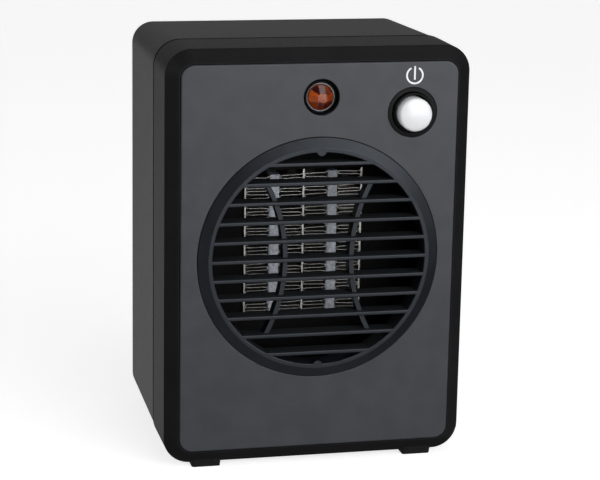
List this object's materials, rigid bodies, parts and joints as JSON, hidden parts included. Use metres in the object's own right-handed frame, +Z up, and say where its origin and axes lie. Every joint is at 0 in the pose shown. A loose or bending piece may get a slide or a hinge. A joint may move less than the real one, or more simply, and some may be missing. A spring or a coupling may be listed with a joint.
{
  "type": "ceramic space heater",
  "caption": "Small upright box heater with a round louvred grille over a finned ceramic element, a push button, a pilot lens and a fan inside.",
  "frame": {"origin": "on the table, under the middle of the heater's bounding box", "axes": "+Z up, +X to the right of someone who faces the grille, -Y out of the front"},
  "size_m": [0.11, 0.0968, 0.1523],
  "materials": {
    "black_abs": "satin moulded",
    "grey_panel": "fine matt",
    "black_nylon": "satin moulded",
    "black_rubber": "fine textured",
    "white_abs": "gloss",
    "black_gloss": "gloss",
    "amber_lens": "clear amber",
    "black_inner": "matt",
    "white_inner": "matt",
    "fin_aluminium": "bright rolled",
    "ptc_ceramic": "matt fired",
    "steel": "zinc plated",
    "lamination_steel": "dull",
    "brass": "plain",
    "winding_tape": "taped copper",
    "clear_glass": "clear",
    "lead_silicone": "smooth"
  },
  "bodies": {
    "housing": {"front_frame": "black_abs", "rear_shell": "black_abs", "face_panel": "grey_panel", "grille": "black_nylon", "front_feet": "black_rubber", "rear_feet": "black_rubber", "button_collar": "black_gloss", "power_switch": "black_inner", "switch_terminals": "brass", "switch_screws": "steel", "lamp_lens": "amber_lens", "lamp_holder": "black_inner", "neon_bulb": "clear_glass", "lamp_base": "white_inner", "fin_pack_outer_left": "fin_aluminium", "fin_pack_inner_left": "fin_aluminium", "fin_pack_inner_right": "fin_aluminium", "fin_pack_outer_right": "fin_aluminium", "ptc_strip_left": "ptc_ceramic", "ptc_strip_right": "ptc_ceramic", "contact_plate_left": "fin_aluminium", "contact_plate_centre": "fin_aluminium", "contact_plate_right": "fin_aluminium", "element_cap_top": "black_inner", "element_cap_bottom": "black_inner", "element_holder": "black_inner", "thermostat": "steel", "thermal_fuse": "steel", "air_duct": "black_inner", "duct_screws": "steel", "stator_core": "lamination_steel", "coil_bobbin": "white_inner", "coil_winding": "winding_tape", "front_bracket": "steel", "rear_bracket": "steel", "bearing_bushes": "brass", "motor_screws": "steel", "case_screws": "steel", "cord_gland": "black_inner", "gland_nut": "black_inner", "terminal_block": "white_inner", "terminal_screw": "steel", "lead_supply": "lead_silicone", "lead_thermostat": "lead_silicone", "lead_fuse": "lead_silicone", "lead_element": "lead_silicone", "lead_neutral": "lead_silicone", "lead_link": "lead_silicone", "leads_motor": "lead_silicone", "leads_lamp": "lead_silicone", "lamp_bezel": "steel"},
    "button": {"button_cap": "white_abs", "switch_plunger": "white_inner"},
    "fan": {"fan_impeller": "black_inner", "motor_shaft": "steel", "motor_rotor": "steel"}
  },
  "joints": [
    {"name": "button_press", "type": "slide", "parent": "housing", "child": "button", "axis": [0, 1, 0], "range_m": [0, 0.003], "stiffness_N_per_m": 500, "springref_m": -0.001},
    {"name": "fan_spin", "type": "hinge", "parent": "housing", "child": "fan", "pos_m": [0, 0.01758, 0.07705], "axis": [0, 1, 0], "continuous": true}
  ]
}
